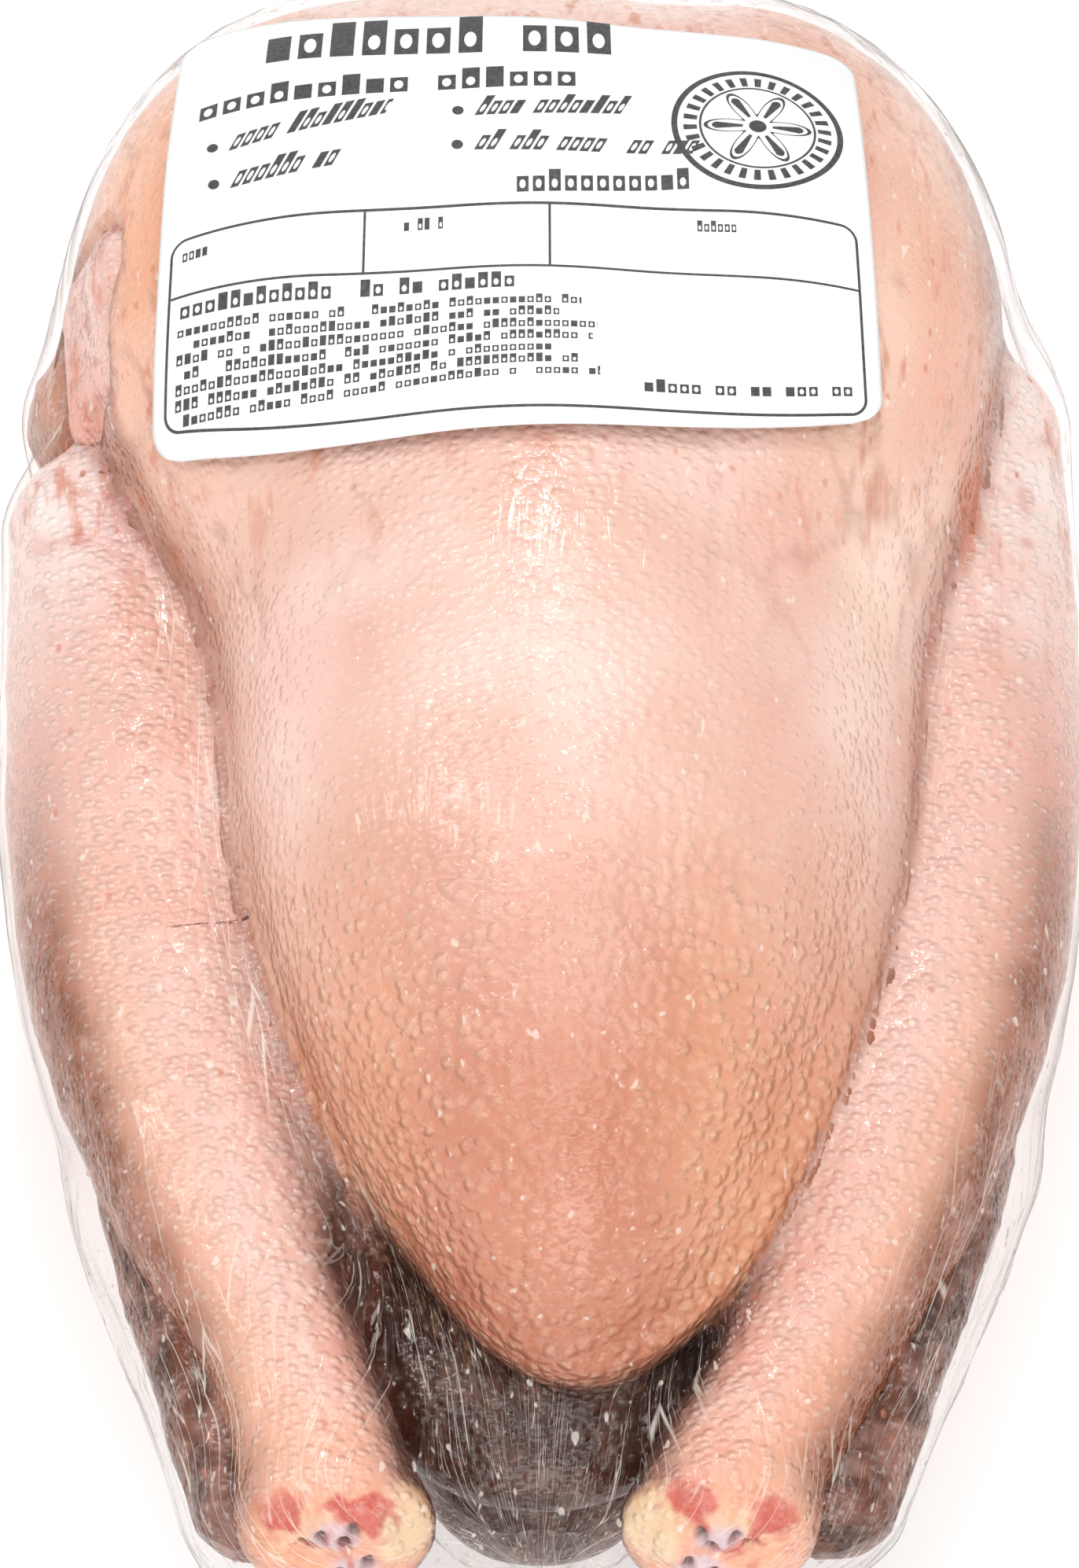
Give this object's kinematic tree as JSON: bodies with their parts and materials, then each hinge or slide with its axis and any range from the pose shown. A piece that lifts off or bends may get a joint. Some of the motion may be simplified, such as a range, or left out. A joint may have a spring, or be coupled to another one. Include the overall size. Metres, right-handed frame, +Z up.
{
  "type": "whole raw chicken",
  "caption": "Whole raw chicken lying breast up, wrapped tightly in a clear shrink bag with a paper label over the upper breast.",
  "frame": {"origin": "on the surface it lies on, under the middle of the whole bagged bird's box", "axes": "+Z up through the breast, +Y towards the neck end, the leg ends towards -Y, +X to the right seen from the leg ends"},
  "size_m": [0.1624, 0.2641, 0.1119],
  "materials": {
    "skin_under_film": "raw skin seen through clear glossy film",
    "label_paper": "smooth white self-adhesive paper, slightly glossy"
  },
  "bodies": {
    "root": {"bagged_chicken": "skin_under_film", "label": "label_paper"}
  },
  "joints": []
}
